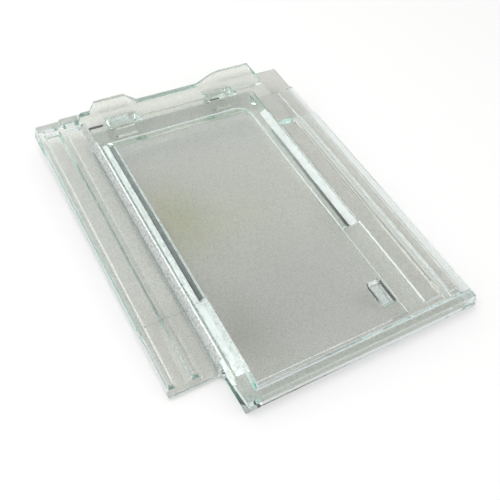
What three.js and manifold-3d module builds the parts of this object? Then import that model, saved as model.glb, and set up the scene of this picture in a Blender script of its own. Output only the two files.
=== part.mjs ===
// A pressed glass roof tile that lets daylight into a roof of interlocking clay tiles.
// It is one monolithic pressing: a pane with a lipped tail, an underlock down the left side,
// an overlock down the right side, a frame of stiffening ribs below, and two nibs at the head
// that hang on the roof batten.
//
// Millimetres. +X to the right, +Y from the tail (down the roof) to the head (up the roof),
// +Z out of the weather face. The tile is drawn from its left edge, its tail edge and the plane
// of its bearing rims, then moved so that the origin is under the middle of its box.
import * as THREE from 'three';
import * as BufferGeometryUtils from 'three/addons/utils/BufferGeometryUtils.js';
import Module from 'manifold-3d';

// ---- Driving dimensions -------------------------------------------------------------------

const LENGTH = 426.5; // tail edge to head edge, between the lobes
const WIDTH = 334; // left edge of the underlock to right edge of the weather face
const FLARE = 5; // how far the right side leans out between weather face and bearing rims
const HEIGHT = 20; // bearing rims to weather face
const NIB_DROP = 15; // nib tips below the bearing rims
const OVERLAP = 1; // how far neighbouring regions run into each other before they are joined

// Pane and the land around its underside hollow
const PANE_UNDERSIDE = 12;
const LAND_UNDERSIDE = 10.5;
const HOLLOW = { x0: 76.5, x1: 256, y0: 18, y1: 358 };

// Tail lip, which rests on the tile below
const LIP = { depth: 15, draft: 2, setBack: 1.4 };

// Underlock: the upstanding side channels on the left, notched at the tail
const UNDERLOCK = {
  tail: 44.5, // the strip starts here, above the notch
  head: 424.5,
  floor: 7,
  ribTop: 15,
  tip: 2.6, // thickness of the glass at the tail end
  nose: 5, // length of the sloped tail end, up to the channel floors
  noseRise: 2, // further length of the slope up to the rib tops
  headRim: 12, // length of the closed head end
  headRimLow: 17,
  headRimSplit: 30, // where the low outer head rim meets the full-height inner one
  headRimDraft: 2,
  notchRadius: 8,
};
const OUTER_RIB = { foot0: 0, top0: 2, top1: 6.8, foot1: 10.6 };
const MIDDLE_RIB = { foot0: 25.4, top0: 26.4, top1: 32.2, foot1: 36 };
const BODY_WALL = { foot: 51.3, top: 57.8, lower: 56.3 };

// Clearance pressed into the underside so that four tiles can meet at a corner
const CORNER_RELIEF = { x1: 78, y1: 122.5, height: 2 };

// Overlock: the hanging side channels on the right
const OVERLOCK = {
  start: 279.5,
  ceiling: 15.5,
  ribBottom: 7,
  tail: 20, // the channels are closed by the tail lip up to here
  flangeEnd: 379,
  head: 420.5,
  stepAt: 319, // the weather face steps down above here, under the next course
  stepFrom: 300,
  stepTop: 16,
  stepCeiling: 12,
  edge: 332, // right edge of the strip above the flange's end
};
const HANGING_RIB = { top0: 303.5, bottom0: 304.7, bottom1: 311.8, top1: 313 };
const FLANGE = { top0: 325, bottom0: 328 };

// Stiffening frame that hangs under the pane
const LEFT_BAR = { bottom1: 71.5, top1: 76.5, chamfer: 4.5 };
const RIGHT_BAR = {
  top0: 256.5,
  bottom0: 261.5,
  bottom1: 269,
  top1: 280,
  chamfer: 10.5,
  y0: 141,
  endSlope: 5,
};
const HEAD_BAR = { y0: 358, y1: 390, slope0: 15, slope1: 8, x1: 274, cornerRadius: 22 };

// Head rim, its two lobes and the hanging nibs
const HEAD_RIM = { y0: 402.5, bottom: 5, wallSlope: 2 };
const LOBE_REACH = 15;
const LEFT_LOBE = { base0: 69.5, top0: 81, top1: 120.5, base1: 131.5 };
const RIGHT_LOBE = { base0: 212, top0: 258, end: 300 };
const NIB = { width: 43, y0: 391, tipDepth: 15, rootDepth: 23, radius: 11, taper: 3 };
const NIB_CENTRES = [104, 237.5];

// Small locating pad under the tail end of the pane
const PAD = { x0: 236.5, x1: 253.5, y0: 35, y1: 67, bottom: 4, slope: 3 };

const CURVE_STEPS = 10;

// ---- Solids ---------------------------------------------------------------------------------

const wasm = await Module();
wasm.setup();

/** Turns a closed geometry into a solid that can be joined and cut. */
function solid(geometry) {
  const bare = geometry.clone();
  bare.deleteAttribute('normal');
  bare.deleteAttribute('uv');
  const merged = BufferGeometryUtils.mergeVertices(bare, 1e-4);
  const mesh = new wasm.Mesh({
    numProp: 3,
    vertProperties: new Float32Array(merged.attributes.position.array),
    triVerts: new Uint32Array(merged.index.array),
  });
  mesh.merge();
  return new wasm.Manifold(mesh);
}

/** Turns a solid back into a geometry. */
function toGeometry(manifold) {
  const mesh = manifold.getMesh();
  const geometry = new THREE.BufferGeometry();
  geometry.setAttribute('position', new THREE.BufferAttribute(mesh.vertProperties, 3));
  geometry.setIndex(new THREE.BufferAttribute(mesh.triVerts, 1));
  geometry.computeVertexNormals();
  return geometry;
}

/** Closed outline from corner points. */
function outline(points) {
  return new THREE.Shape(points.map(([u, v]) => new THREE.Vector2(u, v)));
}

/** Upright prism: an outline in X and Y, raised from z0 to z1. */
function upright(shape, z0, z1) {
  const geometry = new THREE.ExtrudeGeometry(shape, {
    depth: z1 - z0,
    bevelEnabled: false,
    curveSegments: CURVE_STEPS,
  });
  geometry.translate(0, 0, z0);
  return solid(geometry);
}

/** Lengthwise bar: a section in X and Z, run from y0 to y1. */
function lengthwise(shape, y0, y1) {
  const geometry = new THREE.ExtrudeGeometry(shape, {
    depth: y1 - y0,
    bevelEnabled: false,
    curveSegments: CURVE_STEPS,
  });
  geometry.rotateX(Math.PI / 2);
  geometry.translate(0, y1, 0);
  return solid(geometry);
}

/** Crosswise bar: a section in Y and Z, run from x0 to x1. */
function crosswise(shape, x0, x1) {
  const geometry = new THREE.ExtrudeGeometry(shape, {
    depth: x1 - x0,
    bevelEnabled: false,
    curveSegments: CURVE_STEPS,
  });
  // Section (Y, Z) drawn as (u, v), then turned so that u is Y, v is Z and the run is X.
  geometry.applyMatrix4(
    new THREE.Matrix4().set(0, 0, 1, x0, 1, 0, 0, 0, 0, 1, 0, 0, 0, 0, 0, 1),
  );
  return solid(geometry);
}

/** Rectangular block between two corners. */
function block(x0, x1, y0, y1, z0, z1) {
  const geometry = new THREE.BoxGeometry(x1 - x0, y1 - y0, z1 - z0);
  geometry.translate((x0 + x1) / 2, (y0 + y1) / 2, (z0 + z1) / 2);
  return solid(geometry);
}

/** Block whose lower face is drawn in by `slope` on every side. */
function taperedBlock(x0, x1, y0, y1, z0, z1, slope) {
  const geometry = new THREE.BoxGeometry(x1 - x0, y1 - y0, z1 - z0);
  const corners = geometry.attributes.position;
  for (let i = 0; i < corners.count; i += 1) {
    if (corners.getZ(i) < 0) {
      corners.setX(i, corners.getX(i) - Math.sign(corners.getX(i)) * slope);
      corners.setY(i, corners.getY(i) - Math.sign(corners.getY(i)) * slope);
    }
  }
  geometry.translate((x0 + x1) / 2, (y0 + y1) / 2, (z0 + z1) / 2);
  return solid(geometry);
}

/** Joins every solid in a list. */
function join(solids) {
  return solids.reduce((whole, next) => whole.add(next));
}

// ---- Regions of the tile --------------------------------------------------------------------

/** The pane's plan: the body between the two side locks, with the two lobes on its head edge. */
function bodyPlan() {
  const shape = new THREE.Shape();
  const lobeEdge = LENGTH + LOBE_REACH;
  const rightSpan = RIGHT_LOBE.top0 - RIGHT_LOBE.base0;
  shape.moveTo(BODY_WALL.top, LIP.depth - OVERLAP);
  shape.lineTo(OVERLOCK.start, LIP.depth - OVERLAP);
  shape.lineTo(OVERLOCK.start, HEAD_RIM.y0);
  shape.lineTo(RIGHT_LOBE.end, HEAD_RIM.y0);
  shape.lineTo(RIGHT_LOBE.end, lobeEdge);
  shape.lineTo(RIGHT_LOBE.top0, lobeEdge);
  // The right lobe's left end is an S curve, steepest near its foot.
  shape.bezierCurveTo(
    RIGHT_LOBE.base0 + rightSpan * 0.45,
    lobeEdge,
    RIGHT_LOBE.base0 + rightSpan * 0.25,
    LENGTH,
    RIGHT_LOBE.base0,
    LENGTH,
  );
  shape.lineTo(LEFT_LOBE.base1, LENGTH);
  shape.lineTo(LEFT_LOBE.top1, lobeEdge);
  shape.lineTo(LEFT_LOBE.top0, lobeEdge);
  shape.lineTo(LEFT_LOBE.base0, LENGTH);
  shape.lineTo(BODY_WALL.top, LENGTH);
  return shape;
}

/** The flat pane with its land, from the body wall to the overlock. */
function pane() {
  const slab = upright(bodyPlan(), LAND_UNDERSIDE, HEIGHT);
  const hollow = block(
    HOLLOW.x0,
    HOLLOW.x1,
    HOLLOW.y0,
    HOLLOW.y1,
    LAND_UNDERSIDE - OVERLAP,
    PANE_UNDERSIDE,
  );
  return slab.subtract(hollow);
}

/** The lip across the tail. Its right end leans outward to the bearing rims. */
function tailLip() {
  const section = outline([
    [0, 0],
    [LIP.depth - LIP.draft, 0],
    [LIP.depth, PANE_UNDERSIDE],
    [LIP.depth, HEIGHT],
    [LIP.setBack, HEIGHT],
  ]);
  const lip = crosswise(section, BODY_WALL.lower, WIDTH + FLARE);
  const lean = outline([
    [WIDTH + FLARE, 0],
    [WIDTH + FLARE + OVERLAP, 0],
    [WIDTH + FLARE + OVERLAP, HEIGHT + OVERLAP],
    [WIDTH, HEIGHT + OVERLAP],
    [WIDTH, HEIGHT],
  ]);
  return lip.subtract(lengthwise(lean, -OVERLAP, LIP.depth + OVERLAP));
}

/** The left side's two upstanding channels, as one section, with the sloped tail nose. */
function underlock() {
  const { floor, ribTop, tail, head, tip, nose, noseRise } = UNDERLOCK;
  const section = outline([
    [OUTER_RIB.foot0, 0],
    [BODY_WALL.top + OVERLAP, 0],
    [BODY_WALL.top + OVERLAP, HEIGHT],
    [BODY_WALL.top, HEIGHT],
    [BODY_WALL.foot, floor],
    [MIDDLE_RIB.foot1, floor],
    [MIDDLE_RIB.top1, ribTop],
    [MIDDLE_RIB.top0, ribTop],
    [MIDDLE_RIB.foot0, floor],
    [OUTER_RIB.foot1, floor],
    [OUTER_RIB.top1, ribTop],
    [OUTER_RIB.top0, ribTop],
  ]);
  const strip = lengthwise(section, tail, head);
  // The nose slopes the strip's tail end back from its blunt tip to the tops of its ribs.
  const noseCut = outline([
    [tail - OVERLAP, CORNER_RELIEF.height + tip],
    [tail, CORNER_RELIEF.height + tip],
    [tail + nose, floor],
    [tail + nose + noseRise, HEIGHT],
    [tail - OVERLAP, HEIGHT],
  ]);
  return strip.subtract(crosswise(noseCut, -OVERLAP, BODY_WALL.foot));
}

/** The closed head end of the underlock, lower over its outer channel. */
function underlockHead() {
  const { head, headRim, headRimLow, headRimSplit, headRimDraft } = UNDERLOCK;
  const outer = outline([
    [OUTER_RIB.foot0, 0],
    [headRimSplit + headRimDraft, 0],
    [headRimSplit, headRimLow],
    [OUTER_RIB.top0, headRimLow],
  ]);
  const inner = outline([
    [headRimSplit, 0],
    [BODY_WALL.top + OVERLAP, 0],
    [BODY_WALL.top + OVERLAP, HEIGHT],
    [headRimSplit + headRimDraft, HEIGHT],
  ]);
  return lengthwise(outer, head - headRim, head).add(lengthwise(inner, head - headRim, head));
}

/** The rounded inner corner where the notch meets the body's left wall. */
function notchFillet() {
  const r = UNDERLOCK.notchRadius;
  const x = BODY_WALL.lower;
  const y = UNDERLOCK.tail;
  const shape = new THREE.Shape();
  shape.moveTo(x + OVERLAP, y + OVERLAP);
  shape.lineTo(x - r, y + OVERLAP);
  shape.lineTo(x - r, y);
  shape.absarc(x - r, y - r, r, Math.PI / 2, 0, true);
  shape.lineTo(x + OVERLAP, y - r);
  return upright(shape, CORNER_RELIEF.height, UNDERLOCK.floor);
}

/** The left bar of the frame, which is also the body's left wall down to the tail. */
function leftBar() {
  const section = outline([
    [BODY_WALL.lower, 0],
    [LEFT_BAR.bottom1, 0],
    [LEFT_BAR.bottom1 + LEFT_BAR.chamfer, LEFT_BAR.chamfer],
    [LEFT_BAR.top1, PANE_UNDERSIDE],
    [LEFT_BAR.top1, HEIGHT],
    [BODY_WALL.top, HEIGHT],
  ]);
  return lengthwise(section, LIP.setBack, HEAD_BAR.y0 + OVERLAP);
}

/** The right bar of the frame, which stops short of the tail with a sloped end. */
function rightBar() {
  const { top0, top1, bottom0, bottom1, chamfer, y0, endSlope } = RIGHT_BAR;
  const section = outline([
    [bottom0, 0],
    [bottom1, 0],
    [bottom1 + chamfer, chamfer],
    [top1, OVERLOCK.ceiling + OVERLAP],
    [top0, OVERLOCK.ceiling + OVERLAP],
    [top0, PANE_UNDERSIDE],
  ]);
  const ramp = outline([
    [y0 - OVERLAP, -OVERLAP],
    [y0 + endSlope, -OVERLAP],
    [y0, LAND_UNDERSIDE],
    [y0 - OVERLAP, LAND_UNDERSIDE],
  ]);
  const bar = lengthwise(section, y0, HEAD_BAR.y1 - HEAD_BAR.slope1);
  return bar.subtract(crosswise(ramp, top0 - OVERLAP, top1 + OVERLAP));
}

/** The head bar of the frame, with its sloped inner wall and a rounded inner corner. */
function headBar() {
  const { y0, y1, slope0, slope1, x1, cornerRadius } = HEAD_BAR;
  const section = outline([
    [y0 + slope0, 0],
    [y1 - slope1, 0],
    [y1, LAND_UNDERSIDE + OVERLAP],
    [y0, LAND_UNDERSIDE + OVERLAP],
  ]);
  const bar = crosswise(section, BODY_WALL.lower, x1);
  const centreX = RIGHT_BAR.bottom0 - cornerRadius;
  const centreY = y0 + slope0 - cornerRadius;
  const corner = new THREE.Shape();
  corner.moveTo(RIGHT_BAR.bottom0 + OVERLAP, y0 + slope0 + OVERLAP);
  corner.lineTo(centreX, y0 + slope0 + OVERLAP);
  corner.lineTo(centreX, centreY + cornerRadius);
  corner.absarc(centreX, centreY, cornerRadius, Math.PI / 2, 0, true);
  corner.lineTo(RIGHT_BAR.bottom0 + OVERLAP, centreY);
  return bar.add(upright(corner, 0, PANE_UNDERSIDE + OVERLAP));
}

/** The hanging rim under the head edge. */
function headRim() {
  const section = outline([
    [HEAD_RIM.y0, HEAD_RIM.bottom],
    [LENGTH - HEAD_RIM.wallSlope, HEAD_RIM.bottom],
    [LENGTH, LAND_UNDERSIDE],
    [LENGTH, LAND_UNDERSIDE + OVERLAP],
    [HEAD_RIM.y0, LAND_UNDERSIDE + OVERLAP],
  ]);
  return crosswise(section, BODY_WALL.lower, RIGHT_LOBE.end);
}

/** One batten nib: a rounded tongue that hangs below the bearing rims. */
function nib(centre) {
  const half = NIB.width / 2;
  const r = NIB.radius;
  const low = -NIB_DROP;
  const top = LAND_UNDERSIDE + OVERLAP;
  const tongue = new THREE.Shape();
  tongue.moveTo(centre - half, top);
  tongue.lineTo(centre - half + NIB.taper, low + r);
  tongue.absarc(centre - half + NIB.taper + r, low + r, r, Math.PI, Math.PI * 1.5, false);
  tongue.absarc(centre + half - NIB.taper - r, low + r, r, -Math.PI / 2, 0, false);
  tongue.lineTo(centre + half, top);
  const blank = lengthwise(tongue, NIB.y0, NIB.y0 + NIB.rootDepth);
  // The head side of the nib slopes back so that it leaves the press cleanly.
  const backCut = outline([
    [NIB.y0 + NIB.tipDepth, low - OVERLAP],
    [NIB.y0 + NIB.rootDepth + OVERLAP, low - OVERLAP],
    [NIB.y0 + NIB.rootDepth + OVERLAP, HEAD_RIM.bottom],
    [NIB.y0 + NIB.rootDepth, HEAD_RIM.bottom],
  ]);
  return blank.subtract(crosswise(backCut, centre - half - OVERLAP, centre + half + OVERLAP));
}

/** The right side's outer face at a height: it leans out towards the bearing rims. */
function flangeFace(z) {
  return WIDTH + (FLARE * (HEIGHT - z)) / HEIGHT;
}

/** Section of the overlock in X and Z, from its left end to the flange's outer face. */
function overlockSection(left, ceiling, top) {
  const { ribBottom } = OVERLOCK;
  return outline([
    [left, ceiling],
    [HANGING_RIB.top0, ceiling],
    [HANGING_RIB.bottom0, ribBottom],
    [HANGING_RIB.bottom1, ribBottom],
    [HANGING_RIB.top1, ceiling],
    [FLANGE.top0, ceiling],
    [FLANGE.bottom0, ribBottom],
    [flangeFace(ribBottom), ribBottom],
    [flangeFace(top), top],
    [left, top],
  ]);
}

/** The right side's two hanging channels, with the lower head part under the next course. */
function overlock() {
  const { ceiling, tail, start, stepAt, stepFrom, stepTop, stepCeiling, flangeEnd } = OVERLOCK;
  const left = start - OVERLAP;
  const full = lengthwise(overlockSection(left, ceiling, HEIGHT), LIP.depth - OVERLAP, stepAt);
  const lowered = lengthwise(
    overlockSection(stepFrom - OVERLAP, stepCeiling, stepTop),
    stepAt - OVERLAP,
    flangeEnd,
  );
  const land = block(
    left,
    stepFrom,
    stepAt - OVERLAP,
    HEAD_RIM.y0 + OVERLAP,
    stepCeiling,
    HEIGHT,
  );
  const strip = block(
    stepFrom - OVERLAP,
    OVERLOCK.edge,
    flangeEnd - OVERLAP,
    OVERLOCK.head,
    stepCeiling,
    stepTop,
  );
  const closure = block(left, WIDTH, LIP.depth - OVERLAP, tail, LAND_UNDERSIDE, HEIGHT);
  return join([full, lowered, land, strip, closure]);
}

/** The clearance under the underlock's tail part, kept out of the body's bearing corner. */
function cornerRelief() {
  const { x1, y1, height } = CORNER_RELIEF;
  return block(-OVERLAP, x1, UNDERLOCK.tail - OVERLAP, y1, -OVERLAP, height);
}

/** The whole pressing. */
function glassTile() {
  const pad = taperedBlock(
    PAD.x0,
    PAD.x1,
    PAD.y0,
    PAD.y1,
    PAD.bottom,
    PANE_UNDERSIDE + OVERLAP,
    PAD.slope,
  );
  const whole = join([
    pane(),
    tailLip(),
    underlock(),
    underlockHead(),
    notchFillet(),
    leftBar(),
    rightBar(),
    headBar(),
    headRim(),
    overlock(),
    pad,
    ...NIB_CENTRES.map(nib),
  ]);
  return whole.subtract(cornerRelief());
}

// ---- Scene ----------------------------------------------------------------------------------

const glass = new THREE.MeshStandardMaterial({
  name: 'clear_soda_lime_glass',
  color: 0xc9d6cd,
  roughness: 0.06,
  metalness: 0,
  transparent: true,
  opacity: 0.35,
  flatShading: true,
});

const tile = new THREE.Mesh(toGeometry(glassTile()), glass);
tile.name = 'pressed_glass_tile';
tile.position.set(-(WIDTH + FLARE) / 2, -(LENGTH + LOBE_REACH) / 2, NIB_DROP);

const group = new THREE.Group();
group.add(tile);

export default group;
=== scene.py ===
"""A pressed glass roof tile that lets daylight into a roof of interlocking clay tiles.

The tile is one pressing, so it is made as one closed surface: the weather face and the underside
are each a height worked out over the tile's plan, and a wall joins their edges. Each part of the
pressing (underlock, overlock, stiffening frame, tail lip, head edge, batten nibs) is a class that
says how high the glass stands, or how low it hangs, at any point of the plan.

Heights and plan places are in millimetres in the tile's own frame: X from the left edge, Y from
the tail edge, Z from the plane of the bearing rims. They become metres in the frame of the CAD
when the mesh is made.
"""

import logging
import math
from dataclasses import astuple, dataclass
from enum import Enum

import bpy
import numpy as np
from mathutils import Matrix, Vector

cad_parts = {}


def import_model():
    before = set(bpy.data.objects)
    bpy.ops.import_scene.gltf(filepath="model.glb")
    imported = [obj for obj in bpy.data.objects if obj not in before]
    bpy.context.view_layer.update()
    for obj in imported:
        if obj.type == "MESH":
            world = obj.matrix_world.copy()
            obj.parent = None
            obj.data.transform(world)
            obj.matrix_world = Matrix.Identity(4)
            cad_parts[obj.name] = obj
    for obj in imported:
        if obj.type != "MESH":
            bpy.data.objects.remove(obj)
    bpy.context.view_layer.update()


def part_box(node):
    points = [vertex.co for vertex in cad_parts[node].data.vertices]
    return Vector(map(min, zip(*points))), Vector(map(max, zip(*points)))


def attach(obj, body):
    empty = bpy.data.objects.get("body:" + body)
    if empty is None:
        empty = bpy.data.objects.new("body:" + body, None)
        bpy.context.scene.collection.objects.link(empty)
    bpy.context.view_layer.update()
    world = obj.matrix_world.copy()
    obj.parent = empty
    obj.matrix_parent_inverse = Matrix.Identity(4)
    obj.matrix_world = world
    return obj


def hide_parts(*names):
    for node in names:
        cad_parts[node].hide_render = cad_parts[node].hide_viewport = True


log = logging.getLogger("roof_tile")

NODE = "pressed_glass_tile"
BODY = "root"
# Attributes for the painted shade tone of each point and the painted light value of each face.
TONE = "painted_shade_tone"
MARK = "painted_light_mark"
MM = 0.001
GRAIN_INPUTS = ("Scale", "Detail", "Start", "End", "Low", "High")

Array = np.ndarray
Points = tuple[tuple[float, float], ...]
Socket = bpy.types.NodeSocket
Tree = bpy.types.NodeTree

OPEN_AIR = 60.0  # a height or depth that no part of the tile reaches


def along(value: Array, points: Points) -> Array:
    """Height of a line of straight runs with (place, height) corners, level past its ends."""
    places, heights = zip(*points)
    return np.interp(value, places, heights)


class Side(Enum):
    """Which of the pressing's two faces is being worked out."""

    WEATHER = "weather face"
    UNDER = "underside"


# ---- Parts of the pressing ----


@dataclass(frozen=True)
class Body:
    """The body's overall sizes, which the other parts are drawn from."""

    length: float = 426.5
    width: float = 334.0
    flare: float = 5.0
    pane_underside: float = 12.0
    land_underside: float = 10.5
    lip_set_back: float = 1.4
    wall_bottom: float = 56.3
    wall_top: float = 57.8
    wall_line: float = 56.5
    hollow_x: tuple[float, float] = (76.5, 256.0)
    hollow_y: tuple[float, float] = (18.0, 358.0)

    def land(self, x: Array, y: Array) -> Array:
        """Underside of the land, raised over the hollow: land + step(x) * step(y) * rise."""
        (x0, x1), (y0, y1) = self.hollow_x, self.hollow_y
        inside = along(x, ((x0 - 0.3, 0), (x0 + 0.3, 1), (x1 - 0.3, 1), (x1 + 0.3, 0)))
        inside = inside * along(y, ((y0 - 0.4, 0), (y0 + 0.4, 1), (y1 - 0.3, 1), (y1 + 0.3, 0)))
        return self.land_underside + inside * (self.pane_underside - self.land_underside)

    def x_edges(self) -> list[float]:
        """Plan lines across X where the body's underside changes height."""
        return [*self.hollow_x, self.wall_line]

    def y_edges(self) -> list[float]:
        """Plan lines across Y where the body's underside changes height."""
        return [*self.hollow_y]


@dataclass(frozen=True)
class TailLip:
    """The lip across the tail, which rests on the tile below."""

    depth: float = 15.0
    draft: float = 2.0
    top: float = 12.0
    left: float = 55.0

    def hang(self, x: Array, y: Array) -> Array:
        """Underside of the lip: zero over its depth, then up its inner wall."""
        wall = ((self.depth - self.draft, 0), (self.depth, self.top), (self.depth + 2, OPEN_AIR))
        return np.where(x > self.left, along(y, wall), OPEN_AIR)

    def y_edges(self) -> list[float]:
        """Plan lines at the lip's inner wall."""
        return [self.depth - self.draft, self.depth]


@dataclass(frozen=True)
class Underlock:
    """The upstanding side channels on the left, notched at the tail and closed at the head."""

    tail: float = 44.5
    head: float = 424.5
    outer_rib: Points = ((2.0, 15.0), (6.8, 15.0), (10.6, 7.0))
    middle_rib: Points = ((25.4, 7.0), (26.4, 15.0), (32.2, 15.0), (36.0, 7.0))
    body_wall: Points = ((51.3, 7.0), (57.8, 20.0))
    nose: Points = ((44.5, 4.6), (49.5, 7.0), (51.5, 20.0))
    head_rim_length: float = 12.0
    head_rim_low: float = 17.0
    head_rim_split: float = 30.0
    relief_height: float = 2.0
    relief_y: Points = ((43.0, 0), (44.2, 1), (118.5, 1), (126.5, 0))
    relief_x: Points = ((76.5, 1), (78.0, 0))

    def stand(self, x: Array, y: Array) -> Array:
        """Weather face: the section's ribs and floors, cut down by the nose, raised at the head.

        Args:
            x: Places across the tile.
            y: Places up the tile.

        Returns:
            Height of the weather face, which is the body's height right of the body wall.
        """
        section = along(x, (*self.outer_rib, *self.middle_rib, *self.body_wall))
        wall = along(x, ((self.body_wall[0][0] - 1.3, 0.0), *self.body_wall))
        channels = np.maximum(np.minimum(section, along(y, self.nose)), wall)
        split = self.head_rim_split
        low, full = self.head_rim_low, self.body_wall[1][1]
        rim = along(x, ((0, low), (split, low), (split + 2, full)))
        start = self.head - self.head_rim_length
        up = along(y, ((start, 0.0), (start + 1.0, OPEN_AIR)))
        return np.maximum(channels, np.minimum(rim, up))

    def relief(self, x: Array, y: Array) -> Array:
        """Clearance under the tail part, where four tiles meet: how far the underside is raised."""
        return self.relief_height * along(x, self.relief_x) * along(y, self.relief_y)

    def x_edges(self) -> list[float]:
        """Plan lines at the ribs' feet and tops."""
        places = [x for x, _ in (*self.outer_rib, *self.middle_rib, *self.body_wall)]
        return [*places, self.head_rim_split, self.head_rim_split + 2]

    def y_edges(self) -> list[float]:
        """Plan lines at the nose, the relief's end and the head rim."""
        start = self.head - self.head_rim_length
        y0, y1, y2, y3 = (y for y, _ in self.relief_y)
        nose = [y for y, _ in self.nose[1:]]
        return [(y0 + y1) / 2, *nose, (y2 + y3) / 2, start, start + 1.0]


@dataclass(frozen=True)
class Overlock:
    """The hanging side channels on the right, stepped down at the head under the next course."""

    start: float = 279.5
    ceiling: float = 15.5
    closed_ceiling: float = 10.5
    tail: float = 20.0
    hang_from: Points = ((14.0, OPEN_AIR), (14.4, 0))
    weather_lean: Points = ((319.0, 0.0), (320.0, 1.0))
    under_lean: Points = ((13.0, 5.0), (15.0, 3.25))
    step_at: float = 319.5
    step_from: float = 300.0
    step_depth: float = 4.0
    step_ceiling: float = 12.0
    flange_end: float = 379.0
    rim_from: float = 403.5
    head: float = 420.5
    edge: float = 332.0
    rib: Points = ((303.5, 16.0), (304.7, 7.0), (311.8, 7.0), (313.0, 16.0))
    flange: Points = ((325.0, 16.0), (328.0, 7.0), (340.0, 7.0))

    def ceilings(self, x: Array, y: Array, land: Array) -> Array:
        """Underside with the grooves' ceilings in place of the land, before the ribs hang."""
        line = (
            (self.tail - 0.6, self.closed_ceiling),
            (self.tail + 0.6, self.ceiling),
            (self.step_at - 3.5, self.ceiling),
            (self.step_at + 2.5, self.step_ceiling),
        )
        ceiling = along(y, line)
        share = along(x, ((self.start - 0.5, 0), (self.start + 0.5, 1)))
        share = share * np.where((y > self.rim_from) & (x < self.step_from), 0.0, 1.0)
        return land * (1 - share) + ceiling * share

    def hang(self, x: Array, y: Array) -> Array:
        """Underside of the hanging rib and the outer flange, ended at the flange's head end."""
        section = along(x, (*self.rib, *self.flange))
        section = np.where(section > self.ceiling + 0.4, OPEN_AIR, section)
        end = along(y, ((self.flange_end - 0.8, 0), (self.flange_end, OPEN_AIR)))
        return np.maximum(np.maximum(section, end), along(y, self.hang_from))

    def step(self, x: Array, y: Array) -> Array:
        """How far the weather face steps down: the step's depth times two short ramps."""
        across = along(x, ((self.step_from - 0.6, 0), (self.step_from + 0.6, 1)))
        up = along(y, ((self.step_at - 0.8, 0), (self.step_at + 0.8, 1)))
        return self.step_depth * across * up

    def x_edges(self) -> list[float]:
        """Plan lines at the groove walls, the rib and the flange."""
        places = [x for x, _ in (*self.rib, *self.flange[:2])]
        return [self.start, self.step_from, *places]

    def y_edges(self) -> list[float]:
        """Plan lines at the grooves' tail end, the step and the flange's end."""
        return [self.tail, self.step_at, self.flange_end]


@dataclass(frozen=True)
class StiffeningFrame:
    """The bars that hang under the pane: left, right and head, with one rounded inner corner."""

    left: Points = ((71.5, 0.0), (76.0, 4.5), (76.5, 12.0), (77.0, OPEN_AIR))
    right: Points = (
        (255.5, OPEN_AIR),
        (256.5, 12.0),
        (261.5, 0.0),
        (269.0, 0.0),
        (279.5, 10.5),
        (280.0, 16.5),
        (280.5, OPEN_AIR),
    )
    right_tail: Points = ((140.0, OPEN_AIR), (141.0, 10.5), (146.0, 0.0))
    head: Points = ((357.0, OPEN_AIR), (358.0, 10.5), (373.0, 0.0), (382.0, 0.0), (390.0, 10.5))
    head_end: float = 391.0
    head_right: float = 274.0
    corner: tuple[float, float] = (239.5, 351.0)
    corner_radius: float = 22.0
    web: Points = ((-1.0, 0.0), (0.0, 1.5), (8.0, 12.0), (9.0, OPEN_AIR))
    web_end: tuple[float, float] = (262.0, 375.0)
    feet_x: tuple[float, ...] = (71.5, 76.5, 256.5, 261.5, 269.0, 280.0)
    feet_y: tuple[float, ...] = (141.0, 146.0, 358.0, 373.0, 382.0, 390.0)

    def hang(self, x: Array, y: Array) -> Array:
        """Underside of the frame: the lowest of its three bars and its rounded corner web."""
        past_head = along(y, (*self.head[3:], (self.head_end, OPEN_AIR)))
        left = np.maximum(along(x, self.left), past_head)
        right = np.maximum(along(x, self.right), along(y, self.right_tail))
        right = np.maximum(right, past_head)
        head = along(y, (*self.head, (self.head_end, OPEN_AIR)))
        head = np.maximum(head, along(x, ((self.head_right, 0.0), (self.head_right + 3, OPEN_AIR))))
        cx, cy = self.corner
        away = np.hypot(np.maximum(x - cx, 0), np.maximum(y - cy, 0)) - self.corner_radius
        web = along(-away, self.web)
        inside = (x > cx) & (y > cy) & (x < self.web_end[0]) & (y < self.web_end[1])
        web = np.where(inside, web, OPEN_AIR)
        return np.minimum(np.minimum(left, right), np.minimum(head, web))

    def x_edges(self) -> list[float]:
        """Plan lines at the bars' feet and bottoms."""
        return [*self.feet_x, self.head_right, self.head_right + 3]

    def y_edges(self) -> list[float]:
        """Plan lines at the bars' ends and walls."""
        return [*self.feet_y]


@dataclass(frozen=True)
class HeadEdge:
    """The hanging rim under the head edge, and the two lobes that stand past it."""

    rim_from: float = 402.5
    wall: Points = ((401.9, OPEN_AIR), (402.5, 5.0), (424.5, 5.0), (426.5, 10.5), (427.0, OPEN_AIR))
    left_lobe: Points = ((69.5, 0.0), (81.0, 15.0), (120.5, 15.0), (131.5, 0.0))
    right_lobe: tuple[float, float] = (212.0, 258.0)
    reach: float = 15.0
    left_end: float = 56.0
    right_end: float = 300.0
    early: float = 0.8

    def hang(self, x: Array, y: Array) -> Array:
        """Underside of the rim, between the body wall and the right lobe's end."""
        inside = (x > self.left_end) & (x < self.right_end)
        return np.where(inside, along(y, self.wall), OPEN_AIR)

    def reach_at(self, x: Array) -> Array:
        """How far the head edge stands out: a trapezium on the left, an S curve on the right.

        The S curve is reach * (3 t^2 - 2 t^3) with t running over the curve's width, drawn a
        little early so that it is steepest near its foot.
        """
        start, end = self.right_lobe
        t = np.clip((x - start) / (end - start), 0, 1) ** self.early
        curve = self.reach * (3 * t**2 - 2 * t**3)
        return np.maximum(along(x, self.left_lobe), curve)

    def x_edges(self) -> list[float]:
        """Plan lines at the lobes' corners."""
        return [x for x, _ in self.left_lobe] + [self.right_lobe[1]]

    def y_edges(self) -> list[float]:
        """Plan lines at the rim's inner wall."""
        return [self.rim_from, 424.5]


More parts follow.
